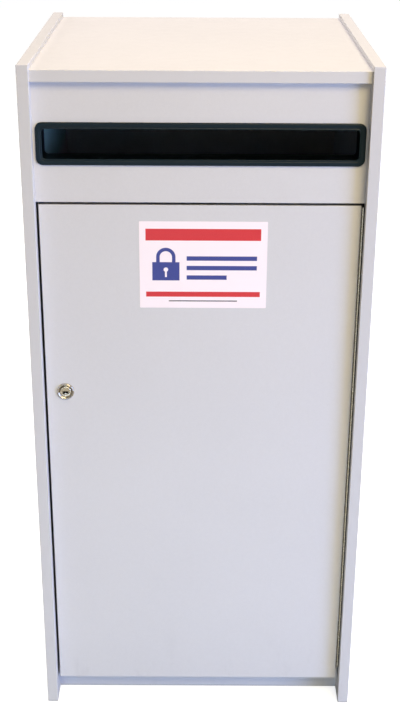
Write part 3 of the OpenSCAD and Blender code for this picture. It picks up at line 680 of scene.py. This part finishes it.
BAG_LO, BAG_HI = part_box("collection_bag")
BAG_YC = (BAG_LO.y + BAG_HI.y) / 2
BAG_Z0, BAG_Z1 = BAG_LO.z, BAG_HI.z
HW, HD, BAG_R = (BAG_HI.x - BAG_LO.x) / 2 - 0.0008, (BAG_HI.y - BAG_LO.y) / 2 - 0.0008, 0.0272
RIM_H = 0.038
GROMMET_Z = BAG_Z1 - 0.021
GROMMET_Y = (BAG_YC - 0.140, BAG_YC + 0.140)


def bag_outline_points(count):
    """Points of the bag's rounded outline, evenly spaced, from the middle of the back, with their
    distance along it and outward direction."""
    sx, sy, arc = 2 * (HW - BAG_R), 2 * (HD - BAG_R), math.pi / 2 * BAG_R
    total = 2 * (sx + sy) + 4 * arc
    pts = []
    for i in range(count):
        s = total * i / count
        d = (s + sx / 2) % total

        for side, (straight, ang) in enumerate(((sx, 90), (sy, 180), (sx, 270), (sy, 0))):
            if d < straight:
                a = math.radians(ang)
                nx, ny = math.cos(a), math.sin(a)
                tx, ty = -ny, nx
                mid = {0: (0, HD), 1: (-HW, 0), 2: (0, -HD), 3: (HW, 0)}[side]
                k = d - straight / 2
                pts.append((mid[0] + tx * k, BAG_YC + mid[1] + ty * k, nx, ny, s))
                break
            d -= straight
            if d < arc:
                a = math.radians(ang) + d / BAG_R
                c = {0: (-1, 1), 1: (-1, -1), 2: (1, -1), 3: (1, 1)}[side]
                cx, cy = c[0] * (HW - BAG_R), BAG_YC + c[1] * (HD - BAG_R)
                nx, ny = math.cos(a), math.sin(a)
                pts.append((cx + nx * BAG_R, cy + ny * BAG_R, nx, ny, s))
                break
            d -= arc
    return pts, total


def rim_drop(x, y):
    """How far the soft rim hangs below its hooked height, and inwards, between the grommets."""
    span_x = max(0.0, 1.0 - (x / HW) ** 2)
    front = max(0.0, min(1.0, (GROMMET_Y[0] - y) / (GROMMET_Y[0] - (BAG_YC - HD))))
    back = max(0.0, min(1.0, (y - GROMMET_Y[1]) / (BAG_YC + HD - GROMMET_Y[1])))
    end = max(front, back)
    mid = max(0.0, 1.0 - ((y - BAG_YC) / 0.140) ** 2) if abs(y - BAG_YC) < 0.140 else 0.0
    drop = 0.016 * end * (0.25 + 0.75 * span_x) + 0.005 * mid
    inward = 0.010 * end * span_x + 0.0045 * mid
    return drop, inward


BAG_COLS, BAG_ROWS, BAG_RINGS = 136, 60, 15


def bag_shell():
    """The bag's cloth as it is sewn: one wall of columns and rows, and a bottom of shrinking rings.
    Returns the object and the number of vertices in the pinned rim."""
    pts, total = bag_outline_points(BAG_COLS)
    height = BAG_Z1 - BAG_Z0
    verts, uv_of = [], []
    rim_rows = 4
    levels = [RIM_H * i / (rim_rows - 1) for i in range(rim_rows)]
    rest = BAG_ROWS - rim_rows
    levels += [RIM_H + (height - 0.0008 - RIM_H) * (i + 1) / rest for i in range(rest)]
    for d in levels:
        low = max(0.0, (d - RIM_H) / (height - RIM_H))
        for x, y, nx, ny, s in pts:
            drop, inward = rim_drop(x, y)
            fade = 1.0 - min(1.0, d / 0.5)
            k = inward * fade
            puff = 0.0025 * math.sin(7.0 * s / total * 2 * math.pi + 9.0 * low) * math.sin(math.pi * low)
            verts.append((x - nx * (k - puff), y - ny * (k - puff), BAG_Z1 - d - drop * fade))
    for j in range(1, BAG_RINGS):
        f = 1.0 - j / BAG_RINGS
        for x, y, nx, ny, s in pts:
            verts.append((x * f, BAG_YC + (y - BAG_YC) * f, BAG_Z0 + 0.0008))
    verts.append((0.0, BAG_YC, BAG_Z0 + 0.0008))
    n = BAG_COLS
    faces, uvs = [], []

    def uv(index, wrap):
        row, col = divmod(index, n)
        if index == len(verts) - 1:
            return (0.0, -height)
        if row < BAG_ROWS:
            return ((total if wrap and col == 0 else pts[col][4]), -levels[row])
        v = verts[index]
        return (v[0] + 0.31, v[1] - height - 0.4)

    def face(ids, wrap):
        flat = any(i >= BAG_ROWS * n for i in ids)
        faces.append(ids)
        for i in ids:
            if flat:
                v = verts[i]
                uvs.append((v[0] + 0.31, v[1] - height - 0.4))
            else:
                uvs.append(uv(i, wrap))

    for r in range(BAG_ROWS + BAG_RINGS - 2):
        for c in range(n):
            c2 = (c + 1) % n
            face((r * n + c, (r + 1) * n + c, (r + 1) * n + c2, r * n + c2), c2 == 0)
    last = (BAG_ROWS + BAG_RINGS - 2) * n
    for c in range(n):
        face((last + c, len(verts) - 1, last + (c + 1) % n), False)
    me = bpy.data.meshes.new("collection_bag_cloth")
    me.from_pydata(verts, [], faces)
    layer = me.uv_layers.new(name="ClothUV")
    for i, t in enumerate(uvs):
        layer.data[i].uv = t
    me.update()
    o = bpy.data.objects.new("collection_bag_cloth", me)
    scene.collection.objects.link(o)
    for p in me.polygons:
        p.use_smooth = True
    return o, rim_rows * n, pts, total


def hang(o, pinned):
    """Lets the cloth hang from its rim and keeps the result as the mesh."""
    g = o.vertex_groups.new(name="pin")
    g.add(list(range(pinned)), 1.0, "REPLACE")
    z = BAG_Z0 - 0.0032
    floor = mesh_object("bag_floor_tmp", [(-0.23, -0.2, z), (0.23, -0.2, z), (0.23, 0.22, z), (-0.23, 0.22, z)],
                        [(0, 1, 2, 3)], bag_cloth, smooth=False)
    floor.modifiers.new("c", "COLLISION")
    floor.collision.thickness_outer = 0.001
    floor.collision.cloth_friction = 20.0
    mod = o.modifiers.new("cloth", "CLOTH")
    s = mod.settings
    s.quality = 6
    s.mass = 0.012
    s.air_damping = 2.0
    s.tension_stiffness = s.compression_stiffness = 18.0
    s.shear_stiffness = 6.0
    s.bending_stiffness = 0.12
    s.tension_damping = s.compression_damping = s.shear_damping = 5.0
    s.vertex_group_mass = "pin"
    s.pin_stiffness = 1.0
    s.shrink_min = -0.012
    mod.collision_settings.distance_min = 0.0015
    mod.collision_settings.use_self_collision = False
    frames = 36
    mod.point_cache.frame_start, mod.point_cache.frame_end = 1, frames
    for f in range(1, frames + 1):
        scene.frame_set(f)
    dg = bpy.context.evaluated_depsgraph_get()
    me = bpy.data.meshes.new_from_object(o.evaluated_get(dg), preserve_all_data_layers=True, depsgraph=dg)
    o.modifiers.clear()
    o.data = me
    scene.frame_set(1)
    bpy.data.objects.remove(floor)


def soften(co, n, start_row, rounds):
    """Evens out the wall of columns below the rim."""
    for _ in range(rounds):
        a = co.copy()
        wall = a[:BAG_ROWS * n].reshape(BAG_ROWS, n, 3)
        mid = wall[start_row:-1]
        mean = (wall[start_row - 1:-2] + wall[start_row + 1:] + np.roll(mid, 1, 1) + np.roll(mid, -1, 1)) / 4
        co[:BAG_ROWS * n].reshape(BAG_ROWS, n, 3)[start_row:-1] = mid * 0.6 + mean * 0.4
    return co


def build_bag():
    t0 = time.time()
    o, pinned, pts, total = bag_shell()
    hang(o, pinned)
    me = o.data
    n = BAG_COLS
    co = np.empty(len(me.vertices) * 3)
    me.vertices.foreach_get("co", co)
    co = co.reshape(-1, 3)
    # the cloth stays inside the clear space between the boards, the stop rail and the back
    co[:, 0] = np.clip(co[:, 0], -0.2140, 0.2140)
    co[:, 1] = np.clip(co[:, 1], BAG_LO.y - 0.004, BAG_HI.y + 0.006)
    co[:, 2] = np.maximum(co[:, 2], BAG_Z0 - 0.0035)
    co = soften(co, n, 4, 2)
    me.vertices.foreach_set("co", co.ravel())
    me.update()
    print("bag hung in %.1f s, lowest %.4f" % (time.time() - t0, co[:, 2].min()))
    # open the cloth at the four grommets: the faces there are under the metal flanges
    o.data.materials.clear()
    o.data.materials.append(bag_cloth)
    wall = co[:BAG_ROWS * n].reshape(BAG_ROWS, n, 3)

    solid = o.modifiers.new("thickness", "SOLIDIFY")
    solid.thickness = 0.0011
    solid.offset = 0.0
    sub = o.modifiers.new("smooth", "SUBSURF")
    sub.levels = sub.render_levels = 1
    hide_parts("collection_bag")
    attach(o, "bag")

    # --- rim webbing: folded over the edge, a band outside and inside
    out_dir = np.array([(p[2], p[3], 0.0) for p in pts])
    verts, faces, uvs = [], [], []
    top = wall[0] + np.array((0, 0, 0.0002))
    down = wall[3]
    prof = [(1, 1.0, 0.0008), (1, 0.93, 0.0017), (1, 0.66, 0.00185), (1, 0.33, 0.00185), (1, 0.06, 0.0017),
            (0, -0.02, 0.0013), (0, -0.035, 0.0), (0, -0.02, -0.0013),
            (-1, 0.06, -0.0017), (-1, 0.33, -0.00185), (-1, 0.62, -0.00185), (-1, 0.90, -0.0017), (-1, 0.96, -0.0008)]
    k = len(prof)
    lengths = [0.0]
    for a, b in zip(prof, prof[1:]):
        lengths.append(lengths[-1] + math.hypot((a[1] - b[1]) * RIM_H, a[2] - b[2]))
    for i in range(n):
        for _, f, off in prof:
            verts.append(top[i] + (down[i] - top[i]) * f + out_dir[i] * off)
    for i in range(n):
        j = (i + 1) % n
        for a in range(k):
            b = (a + 1) % k
            faces.append((i * k + a, j * k + a, j * k + b, i * k + b))
            u0, u1 = pts[i][4], (pts[j][4] if j else total)
            va, vb = lengths[a], (lengths[b] if b else lengths[-1] + 0.0016)
            uvs += [(u0, va), (u1, va), (u1, vb), (u0, vb)]
    rim = cloth_piece("bag_rim_binding", verts, faces, uvs, webbing)
    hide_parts("bag_rim_webbing")
    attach(rim, "bag")

    # --- corded seams down the four corners and round the bottom
    pieces = []
    corner_s = []
    for i in range(n):
        if abs(abs(pts[i][2]) - abs(pts[i][3])) < 0.2:
            corner_s.append(i)
    columns = []
    for sx, sy in ((-1, 1), (-1, -1), (1, -1), (1, 1)):
        best = max(range(n), key=lambda i: pts[i][2] * sx + pts[i][3] * sy)
        columns.append(best)
    verts, faces, uvs = [], [], []

    def tube(path, outward, closed, radius=0.0014, sides=8):
        base = len(verts)
        m = len(path)
        run = 0.0
        for i in range(m):
            a = path[(i - 1) % m] if (closed or i > 0) else path[i]
            b = path[(i + 1) % m] if (closed or i < m - 1) else path[i]
            t = b - a
            t /= max(np.linalg.norm(t), 1e-9)
            o1 = outward[i] - t * np.dot(outward[i], t)
            o1 /= max(np.linalg.norm(o1), 1e-9)
            o2 = np.cross(t, o1)
            c = path[i] + o1 * (radius * 0.9 + 0.0004)
            for s in range(sides):
                ang = 2 * math.pi * s / sides
                verts.append(c + (o1 * math.cos(ang) * 1.25 + o2 * math.sin(ang) * 0.85) * radius)
        last = m if closed else m - 1
        for i in range(last):
            j = (i + 1) % m
            step = float(np.linalg.norm(path[j] - path[i]))
            for s in range(sides):
                s2 = (s + 1) % sides
                faces.append((base + i * sides + s, base + i * sides + s2, base + j * sides + s2, base + j * sides + s))
                va, vb = s * 0.0011, (s + 1) * 0.0011
                uvs.extend([(run, va), (run, vb), (run + step, vb), (run + step, va)])
            run += step
        if not closed:
            for i, flip in ((0, False), (m - 1, True)):
                ids = [base + i * sides + s for s in range(sides)]
                faces.append(tuple(ids if flip else reversed(ids)))
                uvs.extend([(0.0, 0.0)] * sides)

    for c in columns:
        path = [wall[r, c] for r in range(3, BAG_ROWS)]
        tube(path, [out_dir[c]] * len(path), False)
    low = wall[BAG_ROWS - 1]
    tube([low[i] for i in range(n)], [out_dir[i] - np.array((0, 0, 0.6)) for i in range(n)], True)
    seams = cloth_piece("bag_corner_seams", verts, faces, uvs, webbing)
    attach(seams, "bag")
    pieces.append(seams)

    # --- two handles on the front wall, sewn on at both ends
    dg = bpy.context.evaluated_depsgraph_get()
    tree = BVHTree.FromObject(o, dg)
    lo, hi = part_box("bag_handles")
    hw = 0.015
    verts, faces, uvs = [], [], []
    for zc in (BAG_Z0 + 0.060 + hw, BAG_Z1 - 0.120 + hw):
        steps = 64
        length = hi.x - lo.x + 0.012
        base = len(verts)
        rows = 6
        ring = []
        for i in range(steps + 1):
            f = i / steps
            x = lo.x + (hi.x - lo.x) * f
            free = max(0.0, 1.0 - (x / 0.064) ** 2)
            lift = 0.0050 * min(1.0, free * 1.6) ** 0.9 + 0.0004
            sag = 0.0018 * free
            edge = 0.0004 * math.sin(i * 2.1 + zc * 40)
            for r in range(rows + 1):
                z = zc + hw * (2 * r / rows - 1)
                hit = tree.ray_cast(Vector((x, -0.30, z)), Vector((0, 1, 0)))[0]
                y = (hit.y if hit is not None else BAG_LO.y) - lift
                cup = 0.0009 * free * (1 - (2 * r / rows - 1) ** 2)
                curl = 0.10 * free * (z - zc)
                verts.append(np.array((x, y - cup + curl - 0.0003, z - sag + edge * free)))
            ring.append(x)
        w = rows + 1
        front = len(verts) - base
        for i in range(front):
            v = verts[base + i]
            verts.append(v + np.array((0, 0.0014, 0)))

        def vid(i, r, back):
            return base + (front if back else 0) + i * w + r

        def quad(a, b, c, d, ua, ub, va, vb):
            faces.append((a, b, c, d))
            uvs.extend([(ua, va), (ub, va), (ub, vb), (ua, vb)])

        du, dv = length / steps, 2 * hw / rows
        for i in range(steps):
            for r in range(rows):
                quad(vid(i, r, 0), vid(i + 1, r, 0), vid(i + 1, r + 1, 0), vid(i, r + 1, 0),
                     i * du, (i + 1) * du, r * dv, (r + 1) * dv)
                faces.append((vid(i, r, 1), vid(i, r + 1, 1), vid(i + 1, r + 1, 1), vid(i + 1, r, 1)))
                uvs.extend([(i * du, r * dv), (i * du, (r + 1) * dv), ((i + 1) * du, (r + 1) * dv), ((i + 1) * du, r * dv)])
            quad(vid(i, 0, 1), vid(i + 1, 0, 1), vid(i + 1, 0, 0), vid(i, 0, 0), i * du, (i + 1) * du, -0.0014, 0.0)
            quad(vid(i, rows, 0), vid(i + 1, rows, 0), vid(i + 1, rows, 1), vid(i, rows, 1),
                 i * du, (i + 1) * du, 2 * hw, 2 * hw + 0.0014)
        for r in range(rows):
            quad(vid(0, r, 1), vid(0, r, 0), vid(0, r + 1, 0), vid(0, r + 1, 1), -0.0014, 0.0, r * dv, (r + 1) * dv)
            quad(vid(steps, r, 0), vid(steps, r, 1), vid(steps, r + 1, 1), vid(steps, r + 1, 0),
                 length, length + 0.0014, r * dv, (r + 1) * dv)
    straps = cloth_piece("bag_grab_straps", verts, faces, uvs, webbing)
    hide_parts("bag_handles")
    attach(straps, "bag")
    pieces += [rim, straps]
    open_grommets(o, rim)


def open_grommets(*objs):
    """Punches the four eyelet holes through the cloth and the binding."""
    bm = bmesh.new()
    for sx in (-1, 1):
        for y in GROMMET_Y:
            m = Matrix.Translation((sx * (HW + 0.0008), y, GROMMET_Z)) @ Matrix.Rotation(math.pi / 2, 4, "Y")
            bmesh.ops.create_cone(bm, cap_ends=True, segments=32, radius1=0.0079, radius2=0.0079, depth=0.024, matrix=m)
    me = bpy.data.meshes.new("punch")
    bm.to_mesh(me)
    bm.free()
    punch = bpy.data.objects.new("punch", me)
    scene.collection.objects.link(punch)
    for o in objs:
        mod = o.modifiers.new("punch", "BOOLEAN")
        mod.operation, mod.solver, mod.object = "DIFFERENCE", "EXACT", punch
        dg = bpy.context.evaluated_depsgraph_get()
        out = bpy.data.meshes.new_from_object(o.evaluated_get(dg), preserve_all_data_layers=True, depsgraph=dg)
        o.modifiers.clear()
        o.data = out
    bpy.data.objects.remove(punch)


def cloth_piece(name, verts, faces, uvs, material):
    me = bpy.data.meshes.new(name)
    me.from_pydata([tuple(float(c) for c in v) for v in verts], [], faces)
    layer = me.uv_layers.new(name="ClothUV")
    for i, t in enumerate(uvs):
        layer.data[i].uv = t
    me.update()
    bm = bmesh.new()
    bm.from_mesh(me)
    bmesh.ops.recalc_face_normals(bm, faces=bm.faces)
    bm.to_mesh(me)
    bm.free()
    o = bpy.data.objects.new(name, me)
    scene.collection.objects.link(o)
    o.data.materials.append(material)
    smooth_by_angle(o, 50)
    return o


build_bag()

# ---------------------------------------------------------------- stage and light

def make_stage():
    n = 2
    size = 14.0
    verts = [(-size, -size, 0), (size, -size, 0), (size, size + 8, 0), (-size, size + 8, 0)]
    m = Mat("floor_pale")
    n1 = m.noise(3.0, 3.0)
    # the camera sees a near-white studio floor; its bounce on the object is that of a duller, warmer one
    seen = m.node("ShaderNodeLightPath").outputs["Is Camera Ray"]
    pale = m.mix(m.remap(n1, 0.3, 0.7, 0.0, 1.0), (0.50, 0.50, 0.505), (0.52, 0.52, 0.525))
    m.set(color=m.mix(seen, (0.40, 0.385, 0.33), pale), rough=0.9, spec=0.05)
    m.feed(m.p.inputs["Emission Color"], (1.0, 1.0, 1.0, 1.0))
    m.feed(m.p.inputs["Emission Strength"], m.math("MULTIPLY", seen, 0.78))
    floor = mesh_object("floor", verts, [(0, 1, 2, 3)], m.m, smooth=False)


make_stage()


def area_light(name, pos, target, size, power, color, spread=None):
    d = bpy.data.lights.new(name, "AREA")
    d.energy = power
    d.color = color
    d.size = size
    if spread:
        d.spread = math.radians(spread)
    o = bpy.data.objects.new(name, d)
    o.location = pos
    o.rotation_euler = (Vector(target) - Vector(pos)).to_track_quat("-Z", "Y").to_euler()
    scene.collection.objects.link(o)
    return o


def make_world():
    """Soft studio surround: dim on the left and in front, bright on the right, white behind the object."""
    w = bpy.data.worlds.new("World")
    scene.world = w
    w.use_nodes = True
    t = w.node_tree
    t.nodes.clear()
    out = t.nodes.new("ShaderNodeOutputWorld")
    bg = t.nodes.new("ShaderNodeBackground")
    tc = t.nodes.new("ShaderNodeTexCoord")
    sep = t.nodes.new("ShaderNodeSeparateXYZ")
    t.links.new(tc.outputs["Generated"], sep.inputs[0])
    mr = t.nodes.new("ShaderNodeMapRange")
    mr.inputs["From Min"].default_value = -0.9
    mr.inputs["From Max"].default_value = 0.9
    t.links.new(sep.outputs[0], mr.inputs["Value"])
    ramp = t.nodes.new("ShaderNodeValToRGB")
    ramp.color_ramp.elements[0].color = WORLD_L
    ramp.color_ramp.elements[1].color = WORLD_R
    t.links.new(mr.outputs["Result"], ramp.inputs[0])
    t.links.new(ramp.outputs[0], bg.inputs["Color"])
    front = t.nodes.new("ShaderNodeMapRange")
    front.interpolation_type = "SMOOTHSTEP"
    for k, v in (("From Min", -0.95), ("From Max", 0.1), ("To Min", FRONT_DIM), ("To Max", 1.0)):
        front.inputs[k].default_value = v
    t.links.new(sep.outputs[1], front.inputs["Value"])
    t.links.new(front.outputs["Result"], bg.inputs["Strength"])
    white = t.nodes.new("ShaderNodeBackground")
    white.inputs["Color"].default_value = (1.0, 1.0, 1.0, 1.0)
    seen = t.nodes.new("ShaderNodeLightPath").outputs["Is Camera Ray"]
    both = t.nodes.new("ShaderNodeMixShader")
    t.links.new(seen, both.inputs[0])
    t.links.new(bg.outputs[0], both.inputs[1])
    t.links.new(white.outputs[0], both.inputs[2])
    t.links.new(both.outputs[0], out.inputs["Surface"])


WORLD_L = (0.10, 0.095, 0.085, 1)
WORLD_R = (0.90, 0.90, 0.91, 1)
FRONT_DIM = 0.32
make_world()
area_light("overhead", (0.0, 1.1, 3.4), (0.0, 0.1, 1.0), 2.4, 67.5, (1.0, 0.887, 0.865))
area_light("window_right", (2.65, -2.0, 0.70), (0.0, -0.1, 0.5), 1.4, 93.5, (0.372, 0.525, 1.0))
area_light("front_top", (1.0, -2.2, 2.9), (0.0, 0.0, 0.8), 1.3, 78.0, (1.0, 0.817, 0.451))
area_light("key_left", (-0.75, -2.4, 1.25), (0.1, -0.2, 0.6), 0.35, 0.6, (1.0, 0.90, 0.74))
area_light("left_back", (-3.0, 1.5, 1.25), (-0.24, 0.1, 0.55), 2.0, 85.0, (1.0, 0.97, 0.93))
area_light("low_front", (-0.5, -2.4, 0.35), (0.0, -0.2, -0.1), 1.0, 1.9, (0.68, 0.83, 1.0), spread=52)

scene.view_settings.view_transform = "Standard"
scene.view_settings.look = "None"
